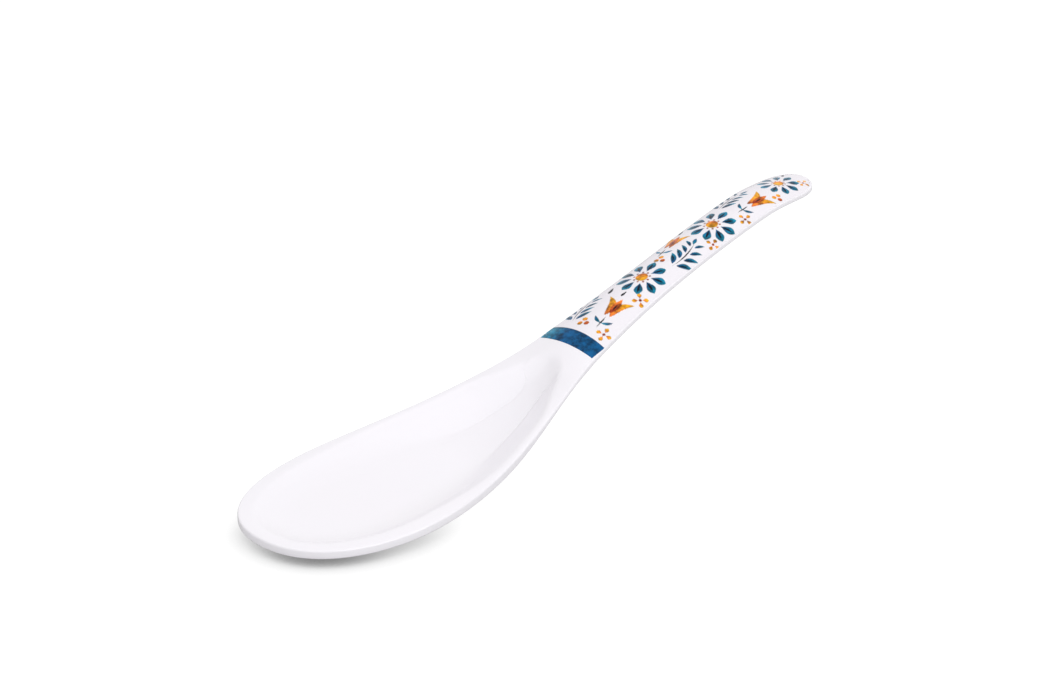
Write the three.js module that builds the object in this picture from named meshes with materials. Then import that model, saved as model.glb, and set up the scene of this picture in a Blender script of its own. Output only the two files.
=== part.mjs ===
// A rice serving spoon in moulded melamine: a white moulding with a shallow shovel bowl and an arched
// handle, a printed foil seated in the top of the handle, and a clear glaze film over the foil.
// Millimetres, +Z up. X runs from the bowl's tip to the handle's tip; the bowl's flat base is at z = 0.
import * as THREE from 'three';
import { mergeVertices } from 'three/addons/utils/BufferGeometryUtils.js';

// Plan sizes. Distances along the spoon are measured from the bowl's tip.
const spoonLength = 243;
const bowlWidth = 60;
const widestAt = 43;
const neckWidth = 24;
const neckAt = 127;
const neckTaper = 0.143;
const gripWidth = 16.9;
const gripAt = 185;
const endWidth = 17.2;
const endRound = 12;

// Side view: the height of the rim, which runs on as the upper edge of the handle.
const tipHeight = 6;
const riseAt = 123;
const riseHeight = 20.2;
const riseSlope = 0.304;
const crestAt = 222;
const crestHeight = 44.3;
const tipDrop = 0.6;

// Bowl: a flat rim, sloping walls, and a floor that rises to the neck and steepens at the hollow's end.
const floorThickness = 3.8;
const rimThickness = 2.7;
const neckEdge = 1.5;
const neckEdgeAt = 112;
const frontLand = 4.4;
const sideLand = 2.3;
const neckLand = 7;
const landTilt = 0.14;
const lipSpread = 0.5;
const frontWallSlope = 0.42;
const backWallSlope = 0.7;
const neckWallSlope = 0.9;
const frontFillet = 2.4;
const backFillet = 0.22;
const creaseFrom = 62;
const creaseFull = 98;
const creaseGroove = 0.3;
const rimLip = 0.5;
const floorRiseFrom = 76.5;
const floorRiseRadius = 82;
const hollowTo = 121.5;
const endRiseLength = 12;
const endBow = 5.6;
const endBowWidth = 6.5;
const endLip = 1;

// Under the bowl: a flat base, sides that rise to the rim, and a heel that curves up to the neck.
const frontUnderSlope = 0.3;
const backUnderSlope = 0.7;
const heelFrom = 95;
const heelRadius = 28;
const underBlend = 1.5;

// Handle: an arched top, thin edges and a slightly hollow back.
const crownHeight = 2.7;
const tipCrown = 1.8;
const crownFrom = 110;
const crownFull = 140;
const handleEdge = 2;
const hollowBack = 1.2;
const edgeRound = 0.7;

// Foil and glaze, laid one on the other in the handle's seat.
const foilFrom = 129;
const foilMargin = 0.8;
const foilThickness = 0.2;
const glazeThickness = 0.15;
const layerClearance = 0.05;
const seatDepth = foilThickness + glazeThickness + 2 * layerClearance;

// Mesh fineness: spokes along each stretch of the outline, and rings across a spoke.
const frontSpokes = 16;
const sideSpokes = 20;
const neckSpokes = 24;
const handleSpokes = 24;
const endSpokes = 7;
const floorRings = 5;
const wallRings = 4;
const underRings = 6;
const arcSteps = 3;

const { clamp, lerp, smoothstep } = THREE.MathUtils;

// Greater or lesser of two heights, rounded off where they come within a blend of each other.
function blendMax(a, b, blend) {
  const near = Math.max(blend - Math.abs(a - b), 0) / blend;
  return Math.max(a, b) + (near * near * blend) / 4;
}

function blendMin(a, b, blend) {
  return -blendMax(-a, -b, blend);
}

// Half of the plan outline, from the bowl's tip round to the handle's tip.
function drawOutline() {
  const outline = new THREE.Path();
  outline.moveTo(0, 0);
  outline.bezierCurveTo(0, 0.365 * bowlWidth, 0.53 * widestAt, bowlWidth / 2, widestAt, bowlWidth / 2);
  const sideReach = neckAt - widestAt;
  const neckLead = 0.22 * sideReach;
  outline.bezierCurveTo(
    widestAt + 0.35 * sideReach, bowlWidth / 2,
    neckAt - neckLead, neckWidth / 2 + neckTaper * neckLead,
    neckAt, neckWidth / 2,
  );
  const neckFade = 0.35 * (gripAt - neckAt);
  outline.bezierCurveTo(
    neckAt + neckFade, neckWidth / 2 - neckTaper * neckFade,
    gripAt - neckFade, gripWidth / 2,
    gripAt, gripWidth / 2,
  );
  const endAt = spoonLength - endRound;
  const gripFade = (endAt - gripAt) / 3;
  outline.bezierCurveTo(
    gripAt + gripFade, gripWidth / 2,
    endAt - gripFade, endWidth / 2,
    endAt, endWidth / 2,
  );
  outline.bezierCurveTo(
    endAt + 0.7 * endRound, endWidth / 2,
    spoonLength, 0.33 * endWidth,
    spoonLength, 0,
  );
  return outline;
}

// The rim's height along the spoon: level at the bowl, rising over the neck, level at the handle's tip.
function drawRimLine() {
  const line = new THREE.Path();
  line.moveTo(0, tipHeight);
  const riseLead = 0.27 * riseAt;
  line.bezierCurveTo(
    0.57 * riseAt, tipHeight - 1,
    riseAt - riseLead, riseHeight - riseSlope * riseLead,
    riseAt, riseHeight,
  );
  const crestReach = crestAt - riseAt;
  line.bezierCurveTo(
    riseAt + 0.53 * crestReach, riseHeight + 0.53 * crestReach * riseSlope,
    crestAt - 0.07 * crestReach, crestHeight,
    crestAt, crestHeight,
  );
  const tipReach = spoonLength - crestAt;
  line.bezierCurveTo(
    crestAt + 0.3 * tipReach, crestHeight + 0.2,
    spoonLength - 0.3 * tipReach, crestHeight + 0.4,
    spoonLength, crestHeight - tipDrop,
  );
  return line;
}

const outline = drawOutline();
const rimLine = drawRimLine();

// The second coordinate of a left-to-right path where its first coordinate is x.
function valueAt(path, x) {
  const curve = path.curves.find((c) => x <= c.v3.x) ?? path.curves.at(-1);
  let low = 0;
  let high = 1;
  for (let step = 0; step < 40; step++) {
    const middle = (low + high) / 2;
    if (curve.getPoint(middle).x < x) low = middle;
    else high = middle;
  }
  return curve.getPoint((low + high) / 2).y;
}

// How far along the spoon the bowl has turned into the neck, from 0 at its widest to 1 at the neck.
function bowlFade(x) {
  return smoothstep(x, widestAt, neckAt);
}

// The same for the last stretch of the hollow, from 0 where the crease is sharp to 1 at the hollow's end.
function endFade(x) {
  return smoothstep(x, creaseFull, hollowTo);
}

// And for the neck, from 0 where the hollow's end begins to 1 at the foil.
function onHandle(x) {
  return smoothstep(x, hollowTo - endBow, foilFrom);
}

// Arch across the handle: 1 on the centre line, 0 on the straight part of its edges.
function archAt(x, y) {
  const half = valueAt(outline, Math.min(x, spoonLength - endRound));
  return 1 - (y / half) ** 2;
}

// Thickness of the edge: the bowl's rim thins towards the neck and fills out again along the handle.
function edgeThicknessAt(x) {
  const bowlEdge = lerp(rimThickness, neckEdge, smoothstep(x, floorRiseFrom, neckEdgeAt));
  return lerp(bowlEdge, handleEdge, smoothstep(x, neckEdgeAt, crownFull));
}

// Rise of a curve that leaves the level at a distance along the spoon, with a radius there.
function riseFrom(x, from, radius) {
  return Math.max(0, x - from) ** 2 / (2 * radius);
}

// Width of the rim's flat land: wide round the front, narrow at the sides, widest at the neck.
function rimLandAt(x) {
  const land = lerp(frontLand, sideLand, smoothstep(x, widestAt, floorRiseFrom));
  return lerp(land, neckLand, endFade(x));
}

// Slope of the land at the bowl's sides, where it falls a little towards the outline.
function landTiltAt(x) {
  return landTilt * smoothstep(x, 0, widestAt) * (1 - endFade(x));
}

// Floor of the hollow. Its last stretch, bowed in plan, climbs the rest of the way to the rim.
function floorHeight(point) {
  const steady = (x) => floorThickness + riseFrom(x, floorRiseFrom, floorRiseRadius);
  const endClimb = valueAt(rimLine, hollowTo) - steady(hollowTo);
  const endRadius = endRiseLength ** 2 / (2 * endClimb);
  const bow = endBow * Math.min(1, Math.abs(point.y) / endBowWidth) ** 2;
  return steady(point.x) + riseFrom(point.x + bow, hollowTo - endRiseLength, endRadius);
}

function wallHeight(point, inset) {
  const bowlSlope = lerp(frontWallSlope, backWallSlope, bowlFade(point.x));
  const slope = lerp(bowlSlope, neckWallSlope, endFade(point.x));
  const land = rimLandAt(point.x);
  return valueAt(rimLine, point.x) + landTiltAt(point.x) * land - slope * (inset - land);
}

// Fillet at the foot of the wall: wide round the front, closing to a crease towards the neck.
function filletAt(x) {
  return lerp(frontFillet, backFillet, smoothstep(x, creaseFrom, creaseFull));
}

// Depth of the fine groove along the crease, which runs out where the hollow ends.
function grooveAt(x) {
  const runOut = smoothstep(x, hollowTo - endRiseLength, hollowTo - endBow / 2);
  return creaseGroove * smoothstep(x, creaseFrom, creaseFull) * (1 - runOut);
}

// Height of the upper surface at a point of a spoke, a given distance in from the outline.
function topHeight(point, inset) {
  const rim = valueAt(rimLine, point.x);
  const fullCrown = smoothstep(point.x, crownFrom, crownFull);
  const crown = fullCrown * lerp(crownHeight, tipCrown, smoothstep(point.x, gripAt, spoonLength));
  const landRise = landTiltAt(point.x) * Math.min(inset, rimLandAt(point.x));
  const solidTop = rim + landRise + crown * archAt(point.x, point.y);
  const wall = wallHeight(point, inset);
  const back = floorHeight(point);
  const hollow = blendMax(wall, back, filletAt(point.x));
  return blendMin(solidTop, hollow, lerp(rimLip, endLip, endFade(point.x)));
}

// Height of the underside: a flat base, sides rising to the rim, a heel, and the handle's back.
function underHeight(point, inset) {
  const edge = valueAt(rimLine, point.x) - edgeThicknessAt(point.x);
  const handleBack = edge + hollowBack * smoothstep(point.x, neckAt, gripAt) * archAt(point.x, point.y);
  const underSlope = lerp(frontUnderSlope, backUnderSlope, bowlFade(point.x));
  const side = edge - underSlope * inset;
  const heel = riseFrom(point.x, heelFrom, heelRadius);
  return blendMin(handleBack, blendMax(side, heel, underBlend), rimLip);
}

// A spoke is a straight line in plan from a point of the outline in to a root on the centre line.
function spokeTo(edge, rootX) {
  const root = new THREE.Vector2(rootX, 0);
  return { edge, root, length: edge.distanceTo(root) };
}

function crossSpoke(x) {
  return spokeTo(new THREE.Vector2(x, valueAt(outline, x)), x);
}

function alongSpoke(spoke, inset) {
  return spoke.edge.clone().lerp(spoke.root, inset / spoke.length);
}

function place(spoke, inset, height) {
  const point = alongSpoke(spoke, inset);
  return new THREE.Vector3(point.x, point.y, height);
}

function mirrored(spoke) {
  return { ...spoke, edge: new THREE.Vector2(spoke.edge.x, -spoke.edge.y) };
}

// Spokes of the bowl on the +Y side, from its tip up to the foil, where the handle's spokes begin.
function spreadBowlSpokes() {
  const spokes = [];
  const front = outline.curves[0];
  for (let i = 0; i < frontSpokes; i++) {
    const along = i / frontSpokes;
    spokes.push(spokeTo(front.getPoint(along), lerp(widestAt / 3, widestAt, along ** 1.4)));
  }
  for (let i = 0; i < sideSpokes; i++) {
    spokes.push(crossSpoke(lerp(widestAt, creaseFull, i / sideSpokes)));
  }
  for (let i = 0; i <= neckSpokes; i++) {
    spokes.push(crossSpoke(lerp(creaseFull, foilFrom, i / neckSpokes)));
  }
  return spokes;
}

function spreadHandleSpokes(from) {
  const spokes = [];
  const endAt = spoonLength - endRound;
  for (let i = 0; i < handleSpokes; i++) {
    spokes.push(crossSpoke(lerp(from, endAt, i / handleSpokes)));
  }
  const end = outline.curves.at(-1);
  for (let i = 0; i <= endSpokes; i++) {
    const along = i / endSpokes;
    spokes.push(spokeTo(end.getPoint(along), lerp(endAt, spoonLength - endRound / 2, along)));
  }
  return spokes;
}

// Inset at which the wall meets the floor or the back, on a spoke of the bowl.
function wallFoot(spoke, lipInset) {
  let low = lipInset;
  let high = spoke.length;
  for (let step = 0; step < 30; step++) {
    const middle = (low + high) / 2;
    const point = alongSpoke(spoke, middle);
    if (wallHeight(point, middle) > floorHeight(point)) low = middle;
    else high = middle;
  }
  return low;
}

// Insets of the rings across the upper surface, from the centre line out to the rim or the foil's edge.
// Two rings hold the lip of the rim's land and three the foot of the wall; they even out over the handle.
function ringInsets(spoke, seatInset) {
  const passed = onHandle(spoke.edge.x);
  const lipInset = lerp(rimLandAt(spoke.edge.x) + lipSpread, 1.8 * foilMargin, passed);
  const width = spoke.length - lipInset;
  const spread = Math.min(lerp(2 * filletAt(spoke.edge.x), width / 9, passed), width / 6);
  const middle = lerp(wallFoot(spoke, lipInset), lipInset + width / 2, passed);
  const foot = clamp(middle, lipInset + 2 * spread, spoke.length - 2 * spread);
  const insets = [];
  for (let i = 0; i < floorRings; i++) {
    insets.push(lerp(spoke.length, foot + spread, i / floorRings));
  }
  insets.push(foot + spread, foot);
  for (let i = 0; i <= wallRings; i++) {
    insets.push(lerp(foot - spread, lipInset, i / wallRings));
  }
  insets.push(seatInset);
  return insets;
}

function seatInsetAt(x) {
  return lerp(rimLandAt(x) - lipSpread, foilMargin, onHandle(x));
}

// Quarter-round at the outline, tangent to the surface further in; side is +1 on top, -1 below.
function edgeArc(spoke, height, side) {
  const atRound = height(alongSpoke(spoke, edgeRound), edgeRound);
  const further = height(alongSpoke(spoke, 1.5 * edgeRound), 1.5 * edgeRound);
  const slope = (side * (further - atRound)) / (0.5 * edgeRound);
  const centre = atRound - side * edgeRound * Math.hypot(1, slope);
  const fullTurn = Math.atan2(1, slope);
  const points = [];
  for (let i = 0; i <= arcSteps; i++) {
    const turn = (fullTurn * i) / arcSteps;
    const inset = edgeRound * (1 - Math.cos(turn));
    points.push(place(spoke, inset, centre + side * edgeRound * Math.sin(turn)));
  }
  return points;
}

// Section of the moulding on one spoke: the top from the centre line out, the edge, the underside back in.
function bodySection(spoke, seated) {
  const insets = ringInsets(spoke, seatInsetAt(spoke.edge.x));
  const sink = seated ? seatDepth : 0;
  const section = insets.map((inset, i) => {
    const top = topHeight(alongSpoke(spoke, inset), inset);
    const groove = i === floorRings + 1 ? grooveAt(spoke.edge.x) : 0;
    return place(spoke, inset, top - sink - groove);
  });
  const seatInset = insets.at(-1);
  section.push(place(spoke, seatInset, topHeight(alongSpoke(spoke, seatInset), seatInset)));
  section.push(...edgeArc(spoke, topHeight, 1).reverse());
  section.push(...edgeArc(spoke, underHeight, -1));
  for (let i = 1; i <= underRings; i++) {
    const inset = lerp(2 * edgeRound, spoke.length, i / underRings);
    section.push(place(spoke, inset, underHeight(alongSpoke(spoke, inset), inset)));
  }
  return section;
}

// Section of a film in the seat, between two depths below the handle's top.
function filmSection(spoke, topDepth, underDepth) {
  const insets = ringInsets(spoke, foilMargin + layerClearance);
  const heights = insets.map((inset) => topHeight(alongSpoke(spoke, inset), inset));
  const top = insets.map((inset, i) => place(spoke, inset, heights[i] - topDepth));
  const under = insets.map((inset, i) => place(spoke, inset, heights[i] - underDepth));
  return [...top, ...under.reverse()];
}

// Closed surface through sections that follow one another clockwise, seen from above.
function skinSections(sections, closed) {
  const positions = [];
  const pairs = closed ? sections.length : sections.length - 1;
  for (let j = 0; j < pairs; j++) {
    const here = sections[j];
    const next = sections[(j + 1) % sections.length];
    for (let k = 0; k < here.length - 1; k++) {
      const corners = [here[k], next[k], next[k + 1], here[k], next[k + 1], here[k + 1]];
      corners.forEach((corner) => positions.push(corner.x, corner.y, corner.z));
    }
  }
  const soup = new THREE.BufferGeometry();
  soup.setAttribute('position', new THREE.Float32BufferAttribute(positions, 3));
  const merged = mergeVertices(soup, 1e-3);
  const faces = [];
  for (let i = 0; i < merged.index.count; i += 3) {
    const [a, b, c] = [0, 1, 2].map((n) => merged.index.getX(i + n));
    if (a !== b && b !== c && c !== a) faces.push(a, b, c);
  }
  merged.setIndex(faces);
  merged.computeVertexNormals();
  return merged;
}

function makeBody() {
  const bowl = spreadBowlSpokes();
  const handle = spreadHandleSpokes(foilFrom);
  const half = [
    ...bowl.map((spoke) => ({ spoke, seated: false })),
    ...handle.map((spoke) => ({ spoke, seated: true })),
  ];
  const otherHalf = half.slice(1, -1).reverse();
  const sections = [
    ...half.map(({ spoke, seated }) => bodySection(spoke, seated)),
    ...otherHalf.map(({ spoke, seated }) => bodySection(mirrored(spoke), seated)),
  ];
  return skinSections(sections, true);
}

function makeFilm(topDepth, underDepth) {
  const half = spreadHandleSpokes(foilFrom + layerClearance);
  const round = [...half, ...half.slice(0, -1).reverse().map(mirrored)];
  const sections = round.map((spoke) => filmSection(spoke, topDepth, underDepth));
  // The film's cut end closes on sections squeezed flat against its underside.
  const cutEnd = (spoke) => filmSection(spoke, underDepth, underDepth);
  return skinSections([cutEnd(round[0]), ...sections, cutEnd(round.at(-1))], false);
}

function addPiece(group, name, geometry, look) {
  const mesh = new THREE.Mesh(geometry, new THREE.MeshStandardMaterial(look));
  mesh.name = name;
  group.add(mesh);
}

const spoon = new THREE.Group();
spoon.name = 'rice_spoon';

const pieces = new THREE.Group();
pieces.position.x = -spoonLength / 2;
spoon.add(pieces);

addPiece(pieces, 'spoon_body', makeBody(), { color: 0xf7f5fa, roughness: 0.18, metalness: 0 });

const foilTop = glazeThickness + layerClearance;
addPiece(pieces, 'handle_decal', makeFilm(foilTop, foilTop + foilThickness), {
  color: 0x1d5c94,
  roughness: 0.3,
  metalness: 0,
});

addPiece(pieces, 'handle_glaze', makeFilm(0, glazeThickness), {
  color: 0xffffff,
  roughness: 0.08,
  metalness: 0,
  transparent: true,
  opacity: 0.3,
});

export default spoon;
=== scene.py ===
import math

import bpy
import numpy as np
from mathutils import Matrix, Vector


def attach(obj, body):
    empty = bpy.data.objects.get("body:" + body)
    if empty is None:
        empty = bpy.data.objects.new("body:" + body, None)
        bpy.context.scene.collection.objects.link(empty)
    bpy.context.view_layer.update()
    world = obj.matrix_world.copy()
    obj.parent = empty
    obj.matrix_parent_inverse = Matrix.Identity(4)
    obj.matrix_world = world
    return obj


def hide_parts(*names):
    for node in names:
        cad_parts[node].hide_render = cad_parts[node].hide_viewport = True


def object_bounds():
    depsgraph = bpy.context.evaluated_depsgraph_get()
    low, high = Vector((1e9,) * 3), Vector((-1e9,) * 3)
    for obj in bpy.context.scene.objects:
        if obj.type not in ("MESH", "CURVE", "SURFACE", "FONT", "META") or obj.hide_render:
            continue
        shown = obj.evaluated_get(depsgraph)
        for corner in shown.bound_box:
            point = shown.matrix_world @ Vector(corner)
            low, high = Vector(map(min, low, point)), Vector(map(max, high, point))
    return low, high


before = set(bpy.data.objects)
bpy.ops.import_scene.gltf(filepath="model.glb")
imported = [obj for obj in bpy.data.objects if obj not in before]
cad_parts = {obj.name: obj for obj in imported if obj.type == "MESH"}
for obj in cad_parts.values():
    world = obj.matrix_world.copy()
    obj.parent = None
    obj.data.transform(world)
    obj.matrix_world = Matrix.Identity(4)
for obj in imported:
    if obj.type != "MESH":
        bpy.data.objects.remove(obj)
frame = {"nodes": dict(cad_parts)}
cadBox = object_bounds()
print("frame loaded:", ", ".join(frame["nodes"]))


def pickOnly(piece):
    bpy.ops.object.select_all(action="DESELECT")
    piece.select_set(True)
    bpy.context.view_layer.objects.active = piece


def addModifier(piece, kind, **settings):
    pickOnly(piece)
    made = piece.modifiers.new(kind.lower(), kind)
    for name, value in settings.items():
        setattr(made, name, value)
    bpy.ops.object.modifier_apply(modifier=made.name)


# A socket that takes part in Python expressions; each operator adds its Math node.
class Wire:
    def __init__(self, tree, socket=None):
        self.tree = tree
        self.socket = socket

    def node(self, kind, settings=None, sockets=None, out=0):
        made = self.tree.nodes.new("ShaderNode" + kind)
        for name, value in (settings or {}).items():
            setattr(made, name, value)
        for name, value in (sockets or {}).items():
            if isinstance(value, Wire):
                self.tree.links.new(value.socket, made.inputs[name])
            else:
                made.inputs[name].default_value = value
        return Wire(self.tree, made.outputs[out] if made.outputs else None)

    def maths(self, operation, first, second):
        return self.node("Math", {"operation": operation}, {0: first, 1: second})

    def __add__(self, other):
        return self.maths("ADD", self, other)

    def __sub__(self, other):
        return self.maths("SUBTRACT", self, other)

    def __rsub__(self, other):
        return self.maths("SUBTRACT", other, self)

    def __mul__(self, other):
        return self.maths("MULTIPLY", self, other)

    __radd__ = __add__
    __rmul__ = __mul__

    def between(self, low, high):  # 0 below low, 1 above high, smooth in between
        settings = {"interpolation_type": "SMOOTHSTEP"}
        return self.node("MapRange", settings, {"Value": self, "From Min": low, "From Max": high})

    def mix(self, first, second):  # this value takes a colour from first to second
        return self.node("Mix", {"data_type": "RGBA"}, {0: self, 6: first, 7: second}, 2)


def newMaterial(name):
    material = bpy.data.materials.new(name)
    material.use_nodes = True
    material.node_tree.nodes.clear()
    return material, Wire(material.node_tree)


melamine = {
    "whites": ((0.905, 0.888, 0.928, 1), (0.912, 0.888, 0.922, 1)),
    "index": 1.6,
    "smooth": 0.10,  # roughness of the best polished patches
    "dull": 0.06,  # how much rougher the others are
    "patches": (0.3, 0.7),  # noise of the best polished patch, and of the dullest
    "peel": 0.03,  # strength of the moulding's faint orange peel
    "peelDepth": 0.0002,
    "cloudScale": 28,
    "polishScale": 110,
    "peelScale": 420,
}


# The finish of the moulding and of the foil's bare ground: tone, roughness and relief.
def melamineFinish(wire, whites):
    place = wire.node("TexCoord", out="Object")
    cloud, polish, peel = [
        wire.node("TexNoise", None, {"Vector": place, "Scale": melamine[scale], "Detail": detail})
        for scale, detail in (("cloudScale", 3), ("polishScale", 4), ("peelScale", 1))
    ]
    tone = cloud.mix(*whites)
    roughness = melamine["smooth"] + melamine["dull"] * polish.between(*melamine["patches"])
    relief = wire.node("Bump", None, {
        "Strength": melamine["peel"],
        "Distance": melamine["peelDepth"],
        "Height": peel,
    })
    return tone, roughness, relief


def finishPiece(piece, material, slot, *nodes):
    piece.data.materials.clear()
    piece.data.materials.append(material)
    pickOnly(piece)
    bpy.ops.object.shade_smooth()
    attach(piece, "root")
    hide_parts(*nodes)
    print(piece.name, "has", len(piece.data.polygons), "faces")


def readPoints(mesh):
    points = np.empty(3 * len(mesh.vertices))
    mesh.vertices.foreach_get("co", points)
    return points.reshape(-1, 3)


# The foil's plan outline: places along the handle, and half of its width at each.
def foilOutline():
    foil = readPoints(frame["nodes"]["handle_decal"].data)
    foil = foil[np.argsort(foil[:, 0])]
    halfWidths = np.maximum.accumulate(np.abs(foil[::-1, 1]))[::-1]
    return foil[:, 0], halfWidths


moulding = {
    "node": "spoon_body",
    "weld": 2e-6,  # merging distance of the loose triangles
    "quadAngle": math.radians(60),  # widest fold and skew of a quad made of two triangles
    "quadFlow": 1.5,
    "seatDepth": 0.00044,  # lift of the seat's floor, a hair less than the seat is deep
    "seatLean": 0.5,  # least upward lean of the seat's floor, which the seat's sides don't reach
    "seatWeld": 2e-5,  # merging distance after the lift
    "fineness": 2,
}


def makeMoulding():
    node = frame["nodes"][moulding["node"]]
    piece = bpy.data.objects.new("spoonMoulding", node.data.copy())
    bpy.context.scene.collection.objects.link(piece)
    pickOnly(piece)
    bpy.ops.object.mode_set(mode="EDIT")
    bpy.ops.mesh.select_mode(type="FACE")
    bpy.ops.mesh.select_all(action="SELECT")
    bpy.ops.mesh.remove_doubles(threshold=moulding["weld"])
    bpy.ops.mesh.tris_convert_to_quads(
        face_threshold=moulding["quadAngle"], shape_threshold=moulding["quadAngle"],
        topology_influence=moulding["quadFlow"],
    )
    bpy.ops.mesh.select_all(action="DESELECT")
    bpy.ops.object.mode_set(mode="OBJECT")

    # The floor of the foil's seat is lifted flush with the handle's top.
    places, halfWidths = foilOutline()
    for face in piece.data.polygons:
        x, y = face.center[:2]
        inSeat = x > places[0] and abs(y) < np.interp(x, places, halfWidths)
        face.select = bool(inSeat and face.normal.z > moulding["seatLean"])
    bpy.ops.object.mode_set(mode="EDIT")
    bpy.ops.transform.translate(value=(0, 0, moulding["seatDepth"]))
    bpy.ops.mesh.select_all(action="SELECT")
    bpy.ops.mesh.remove_doubles(threshold=moulding["seatWeld"])
    bpy.ops.object.mode_set(mode="OBJECT")

    fineness = moulding["fineness"]
    addModifier(piece, "SUBSURF", levels=fineness, render_levels=fineness)

    material, wire = newMaterial("whiteMelamine")
    tone, roughness, relief = melamineFinish(wire, melamine["whites"])
    shader = wire.node("BsdfPrincipled", None, {
        "Base Color": tone,
        "Roughness": roughness,
        "Normal": relief,
        "IOR": melamine["index"],
    })
    wire.node("OutputMaterial", None, {"Surface": shader})
    finishPiece(piece, material, "white_melamine", moulding["node"])
    return piece


inks = {
    "blue": (0.004, 0.085, 0.225),
    "teal": (0.006, 0.240, 0.370),
    "navy": (0.004, 0.006, 0.020),
    "orange": (0.900, 0.220, 0.030),
    "amber": (0.960, 0.480, 0.010),
    "rust": (0.420, 0.045, 0.012),
}


# The printed sheet: for each point of the foil, in mm along and across it, the ink and how far it covers.
class PrintSheet:
    edge = 0.2  # mm over which an ink fades out
    pool = 0.3  # mm in from its edge where the ink gathers darker
    poolDepth = 0.3  # and how much darker
    fullness = 0.85  # below 1 a leaf is fuller towards its ends
    dotTurn = 0.6  # the way that a dot's second ink comes from

    def __init__(self, along, across):
        self.along = along
        self.across = across
        self.tone = np.ones((len(along), 3))
        self.cover = np.zeros(len(along))

    def seenFrom(self, at, turn):
        cos, sin = math.cos(turn), math.sin(turn)
        ahead, aside = self.along - at[0], self.across - at[1]
        return ahead * cos + aside * sin, aside * cos - ahead * sin

    def lay(self, depth, first, second=None, fade=0.0):
        second = second or first
        fade = np.clip(fade, 0, 1)[..., None]
        tone = np.array(inks[first]) * (1 - fade) + np.array(inks[second]) * fade
        pooled = 1 - self.poolDepth * np.exp(-np.clip(depth, 0, None) / self.pool)
        cover = np.clip(depth / self.edge + 0.5, 0, 1)
        share = cover[:, None]
        self.tone = self.tone * (1 - share) + tone * pooled[:, None] * share
        self.cover = np.maximum(self.cover, cover)

    def leaf(self, at, length, width, turn, first, second=None, bend=0.0, skew=1.0):
        ahead, aside = self.seenFrom(at, turn)
        part = np.clip(ahead / length, 0, 1)
        aside = aside - bend * 4 * part * (1 - part)
        half = 0.5 * width * np.sin(math.pi * part ** skew) ** self.fullness
        depth = np.where((ahead > 0) & (ahead < length), half - np.abs(aside), -1)
        self.lay(depth, first, second, 1.3 * part - 0.2 + 0.3 * aside / width)

    def dot(self, at, radius, first, second=None):
        ahead, aside = self.seenFrom(at, self.dotTurn)
        self.lay(radius - np.hypot(ahead, aside), first, second, 0.5 + 0.6 * ahead / radius)


def step(at, distance, turn):
    return at[0] + distance * math.cos(turn), at[1] + distance * math.sin(turn)


# The motifs: inside one, lengths and widths are shares of its size.
def daisy(sheet, at, size, turn):
    petals = 9
    for i in range(petals):
        way = turn + math.tau * i / petals
        sheet.leaf(step(at, 0.34 * size, way), 0.66 * size, 0.36 * size, way, "blue", "teal", skew=1.5)
        sheet.leaf(step(at, 0.46 * size, way), 0.42 * size, 0.1 * size, way, "navy")
        sheet.dot(step(at, 0.31 * size, way + math.pi / petals), 0.05 * size, "rust")
    sheet.dot(at, 0.25 * size, "amber", "orange")


def tulip(sheet, at, size, turn):
    for side in (-1, 1):
        heel = step(at, 0.1 * size, turn + side * math.pi / 2)
        sheet.leaf(
            heel, 0.98 * size, 0.3 * size, turn + 0.42 * side, "orange", "amber",
            bend=-0.17 * size * side, skew=0.8,
        )
        sheet.leaf(
            step(at, -0.36 * size, turn), 0.42 * size, 0.13 * size, turn + side, "teal", "blue",
            bend=0.05 * size * side,
        )
    sheet.leaf(step(at, 0.16 * size, turn), 0.74 * size, 0.26 * size, turn, "rust", "orange", skew=0.9)
    sheet.leaf(step(at, 0.3 * size, turn), 0.3 * size, 0.06 * size, turn, "navy")
    sheet.leaf(step(at, -0.62 * size, turn), 0.58 * size, 0.07 * size, turn, "navy")


def sprig(sheet, at, size, turn, bow):
    pairs = 4
    for i in range(pairs):
        part = (i + 0.35) / pairs
        lean = turn + math.atan(bow * 4 * (1 - 2 * part) / size)
        root = step(step(at, size * part, turn), bow * 4 * part * (1 - part), turn + math.pi / 2)
        length = size * (0.44 - 0.2 * part)
        for side in (-1, 1):
            heel = step(root, 0.06 * size * side, turn + math.pi / 2)
            way = lean + 0.85 * side
            sheet.leaf(
                heel, length, 0.36 * length, way, "blue", "teal",
                bend=-0.09 * length * side, skew=0.85,
            )
            sheet.leaf(
                step(heel, 0.15 * length, way), 0.6 * length, 0.09 * length, way, "navy",
                bend=-0.06 * length * side,
            )
    sheet.leaf(at, size, 0.045 * size, turn, "navy", bend=bow)
    tip = step(at, 0.93 * size, turn)
    sheet.leaf(tip, 0.24 * size, 0.11 * size, turn - math.atan(4 * bow / size), "teal", "blue")


def berries(sheet, at, size, turn):
    for i, pair in enumerate((("orange", "amber"), ("amber", "orange"), ("rust", "orange"))):
        sheet.dot(step(at, 0.62 * size, turn + math.tau * i / 3), 0.46 * size, *pair)


def floret(sheet, at, size, turn):
    for i in range(4):
        way = turn + math.tau * i / 4
        sheet.leaf(step(at, 0.2 * size, way), 0.8 * size, 0.55 * size, way, "orange", "amber", skew=1.5)
    sheet.dot(at, 0.2 * size, "rust")


def seed(sheet, at, size, turn):
    sheet.leaf(at, size, 0.38 * size, turn, "navy", skew=0.6)


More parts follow.
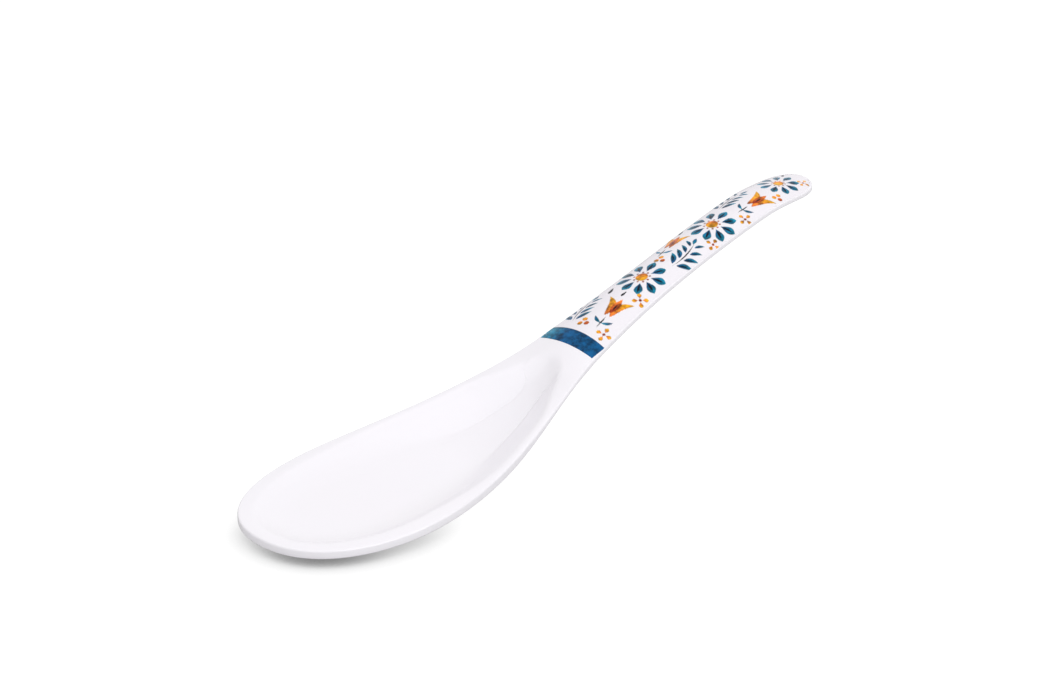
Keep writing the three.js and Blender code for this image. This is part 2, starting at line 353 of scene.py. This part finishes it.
printFilm = {
    "nodes": ("handle_decal", "handle_glaze"),
    "columns": 520,
    "rows": 80,
    "dropHeight": 0.01,  # above the spoon, from where the sheet is pressed down
    "lift": 0.00002,  # keeps the sheet just clear of the moulding
    "weld": 1e-6,  # merging distance at the handle's tip, where the sheet's end closes up
    "thickness": 0.00012,
    "band": 0.0058,  # width of the blue band at the neck
    "bandFade": (4, 11),  # mm across, where the band begins to turn teal and where it ends
    "headStart": 0.0007,  # how far the print runs past the foil's seat, at the neck
    "spread": 1.06,  # and sideways
    "cornerTrim": 0.0015,  # length at the neck over which the foil's flared corners are cut straight
    "crowding": 0.3,  # rows lie closer towards the edges, which bend
    "whites": ((0.866, 0.840, 0.885, 1), (0.873, 0.840, 0.879, 1)),
    "gloss": 0.12,  # the print shows far less of the room than the bare melamine, at 0.5
    "washNoise": {"Scale": 380, "Detail": 6, "Roughness": 0.65},  # the inks' mottle
    "washPatches": (0.32, 0.68),  # noise of the thinnest wash, and of the fullest
    "washLeast": 0.35,
    "washGain": 1.05,
    "brightest": (0.95, 0.95, 0.95),  # no ink is brighter
    # Motif, mm from the band, mm across from the middle, size in mm, turn, and a sprig's bow in mm.
    "layout": (
        (sprig, (3.0, 5.6), 13, 0.2, 0.8),
        (berries, (4.0, 1.6), 2.0, 0.4),
        (tulip, (9.6, -3.0), 9.6, 0.12),
        (floret, (3.4, -7.4), 2.8, 0.2),
        (seed, (18.8, 4.6), 3.6, 0.3),
        (seed, (19.0, -0.4), 2.8, 0.0),
        (floret, (21.6, -6.2), 2.8, 0.9),
        (daisy, (29.6, 0.4), 8.2, 0.2),
        (berries, (39.6, 1.6), 1.9, 0.4),
        (sprig, (39.0, -3.8), 13, 0.12, -0.9),
        (tulip, (46.0, 4.4), 8.6, 0.15),
        (seed, (54.6, 7.0), 3.2, 0.2),
        (daisy, (62.6, -0.2), 8.2, 0.1),
        (floret, (55.8, -6.6), 2.4, 0.3),
        (sprig, (71.0, 4.4), 12.5, 0.06, 1.0),
        (tulip, (78.0, -2.8), 9.2, -0.04),
        (floret, (72.0, -6.2), 2.5, 0.1),
        (berries, (88.6, -5.8), 1.8, 0.5),
        (daisy, (96.2, 0.2), 7.2, 0.1),
        (floret, (103.4, -4.4), 2.2, 0.4),
        (seed, (102.6, 3.6), 2.8, 0.7),
    ),
}


# A fine sheet cut to the foil's outline and pressed down on the moulding.
def makePrintFilm(base):
    places, halfWidths = foilOutline()
    start, end = places[0] - printFilm["headStart"], places[-1]

    bpy.ops.object.select_all(action="DESELECT")
    bpy.ops.mesh.primitive_grid_add(
        x_subdivisions=printFilm["columns"], y_subdivisions=printFilm["rows"], size=2
    )
    piece = bpy.context.active_object
    piece.name = "handlePrint"
    points = readPoints(piece.data)
    points[:, 0] = start + (end - start) * (points[:, 0] + 1) / 2
    crowding, row = printFilm["crowding"], points[:, 1]
    row = (1 + crowding) * row - crowding * row ** 3
    trimmed = np.maximum(points[:, 0], places[0] + printFilm["cornerTrim"])
    points[:, 1] = row * printFilm["spread"] * np.interp(trimmed, places, halfWidths)
    points[:, 2] = cadBox[1][2] + printFilm["dropHeight"]
    piece.data.vertices.foreach_set("co", points.ravel())
    addModifier(
        piece, "SHRINKWRAP", target=base, wrap_method="PROJECT", use_project_z=True,
        use_positive_direction=False, use_negative_direction=True, offset=printFilm["lift"],
    )
    bpy.ops.object.mode_set(mode="EDIT")
    bpy.ops.mesh.select_all(action="SELECT")
    bpy.ops.mesh.remove_doubles(threshold=printFilm["weld"])
    bpy.ops.object.mode_set(mode="OBJECT")

    bandEnd = start + printFilm["band"]
    points = readPoints(piece.data)
    sheet = PrintSheet(1000 * (points[:, 0] - bandEnd), 1000 * points[:, 1])
    for motif, *settings in printFilm["layout"]:
        motif(sheet, *settings)
    fadeFrom, fadeTo = printFilm["bandFade"]
    sheet.lay(-sheet.along, "blue", "teal", (sheet.across - fadeFrom) / (fadeTo - fadeFrom))
    colours = np.column_stack([sheet.tone, sheet.cover])
    attribute = piece.data.attributes.new("print", "FLOAT_COLOR", "POINT")
    attribute.data.foreach_set("color", colours.ravel())
    addModifier(piece, "SOLIDIFY", thickness=printFilm["thickness"], offset=-1)

    material, wire = newMaterial("printedFoil")
    tone, roughness, relief = melamineFinish(wire, printFilm["whites"])
    ink = wire.node("Attribute", {"attribute_name": "print"})
    cover = wire.node("Attribute", {"attribute_name": "print"}, out="Alpha")
    place = wire.node("TexCoord", out="Object")
    wash = wire.node("TexNoise", None, {"Vector": place, **printFilm["washNoise"]})
    strength = printFilm["washLeast"] + printFilm["washGain"] * wash.between(*printFilm["washPatches"])
    washed = wire.node("VectorMath", {"operation": "SCALE"}, {0: ink, "Scale": strength})
    washed = wire.node("VectorMath", {"operation": "MINIMUM"}, {0: washed, 1: printFilm["brightest"]})
    shader = wire.node("BsdfPrincipled", None, {
        "Base Color": cover.mix(tone, washed),
        "Roughness": roughness,
        "Normal": relief,
        "IOR": melamine["index"],
        "Specular IOR Level": printFilm["gloss"],
    })
    wire.node("OutputMaterial", None, {"Surface": shader})
    finishPiece(piece, material, "printed_foil", *printFilm["nodes"])
    return piece


spoonBody = makeMoulding()
handlePrint = makePrintFilm(spoonBody)

studio = {
    "floorSize": 6,
    "floorDepth": 0.0001,  # a hair under the flat base
    "floorGrey": (0.58, 0.58, 0.58, 1),  # what the spoon gets back from the floor
    "cameraGrey": (0.14, 0.14, 0.14, 1),  # the camera sees less of it, and a glow up to white
    "floorGlow": 0.95,
    "glowInGloss": 0.066,
    "shadeSamples": 4,
    "contactReach": 0.0045,  # how near the bowl has to be to shade the floor
    "contactRange": (0.1, 0.8),  # open share of the view that is full shade, and none
    "contactDepth": 0.46,
    "contactFade": (0.0476, 0.0695),  # distances from the shade's centre over which it goes
    "haloReach": 0.030,
    "haloDepth": 0.48,
    "haloFade": (0.0662, 0.094),
    "shadeCentre": (-0.153, -0.0466, 0),  # in front of the bowl, on the camera's side
    "zenith": 0.965,  # strength of the light from straight above, and from the horizon
    "horizon": 0.01,
    "skyRise": (0, 0.7),  # heights over which it goes from one to the other
    "darkCeiling": 0.65,  # what a gloss shows overhead, above the white background
    "ceilingRise": (0.35, 0.75),
    "ambientTint": (1, 0.99, 1, 1),
    "lampSize": 1.6,
    "lampColour": (0.985, 1, 1),
    "lamps": (  # place, and power in watts
        ((0, -1.27, 0.59), 9.6),
        ((-1.21, 0, 0.7), 3.4),
    ),
}


# 1 for rays from the camera and for reflections, 0 for rays that carry light.
def seenDirectly(wire):
    camera, gloss, through = [
        wire.node("LightPath", out=f"Is {kind} Ray") for kind in ("Camera", "Glossy", "Transmission")
    ]
    return wire.maths("MINIMUM", camera + gloss + through, 1.0)


def makeStudio():
    bpy.ops.object.select_all(action="DESELECT")
    bpy.ops.mesh.primitive_plane_add(size=studio["floorSize"], location=(0, 0, -studio["floorDepth"]))
    floor = bpy.context.active_object
    floor.name = "studioFloor"
    material, wire = newMaterial("paleFloor")
    onCamera, inGloss = [wire.node("LightPath", out=name) for name in ("Is Camera Ray", "Is Glossy Ray")]
    contact, halo = [
        wire.node("AmbientOcclusion", {"samples": studio["shadeSamples"]}, {"Distance": studio[reach]}, "AO")
        for reach in ("contactReach", "haloReach")
    ]
    place = wire.node("TexCoord", out="Object")
    away = wire.node("VectorMath", {"operation": "DISTANCE"}, {0: place, 1: studio["shadeCentre"]}, "Value")
    deep = 1 - contact.between(*studio["contactRange"])
    contactShade = studio["contactDepth"] * deep * deep * (1 - away.between(*studio["contactFade"]))
    haloShade = studio["haloDepth"] * (1 - halo) * (1 - away.between(*studio["haloFade"]))
    lift = onCamera * (studio["floorGlow"] - contactShade - haloShade) + studio["glowInGloss"] * inGloss
    paper = wire.node("BsdfDiffuse", None, {"Color": onCamera.mix(studio["floorGrey"], studio["cameraGrey"])})
    glow = wire.node("Emission", None, {"Strength": lift})
    both = wire.node("AddShader", None, {0: paper, 1: glow})
    wire.node("OutputMaterial", None, {"Surface": both})
    floor.data.materials.append(material)

    world = bpy.data.worlds.new("studioWhite")
    bpy.context.scene.world = world
    world.use_nodes = True
    world.node_tree.nodes.clear()
    wire = Wire(world.node_tree)
    seen = seenDirectly(wire)
    heading = wire.node("SeparateXYZ", None, {0: wire.node("TexCoord", out="Generated")}, "Z")
    low, high = studio["horizon"], studio["zenith"]
    lit = low + (high - low) * heading.between(*studio["skyRise"])
    inGloss = wire.node("LightPath", out="Is Glossy Ray") * heading.between(*studio["ceilingRise"])
    shown = 1 - (1 - studio["darkCeiling"]) * inGloss
    light = wire.node("Background", None, {
        "Color": seen.mix(studio["ambientTint"], (1, 1, 1, 1)),
        "Strength": seen * shown + (1 - seen) * lit,
    })
    wire.node("OutputWorld", None, {"Surface": light})

    for i, (place, power) in enumerate(studio["lamps"]):
        toSpoon = -Vector(place)
        bpy.ops.object.light_add(
            type="AREA", location=place, rotation=toSpoon.to_track_quat("-Z", "Y").to_euler()
        )
        lamp = bpy.context.active_object
        lamp.name = f"softBox{i + 1}"
        lamp.data.size = studio["lampSize"]
        lamp.data.energy = power
        lamp.data.color = studio["lampColour"]
    print("studio ready")


view = {
    "turn": math.radians(46.658),  # round the spoon from straight in front of its side
    "tilt": math.radians(26.141),
    "distance": 1.0002,
    "aim": (-0.0015, 0, 0.013),
    "focal": 3226.5,  # in pixels of the frame
    "frame": (1050, 700),
    "sensor": 36,
    "centre": (547.62, 382.75),  # pixel of the aimed point
}


def placeCamera():
    turn, tilt = view["turn"], view["tilt"]
    ahead = Vector((math.sin(turn) * math.cos(tilt), math.cos(turn) * math.cos(tilt), -math.sin(tilt)))
    right = Vector((math.cos(turn), -math.sin(turn), 0))
    bpy.ops.object.camera_add(location=Vector(view["aim"]) - ahead * view["distance"])
    camera = bpy.context.active_object
    axes = Matrix((right, right.cross(ahead), -ahead)).transposed()
    camera.rotation_euler = axes.to_euler()
    wide, high = view["frame"]
    camera.data.sensor_width = view["sensor"]
    camera.data.lens = view["sensor"] * view["focal"] / wide
    camera.data.shift_x = (wide / 2 - view["centre"][0]) / wide
    camera.data.shift_y = (view["centre"][1] - high / 2) / wide
    bpy.context.scene.camera = camera
    print("camera placed")


makeStudio()
placeCamera()
bpy.context.scene.view_settings.view_transform = "Standard"
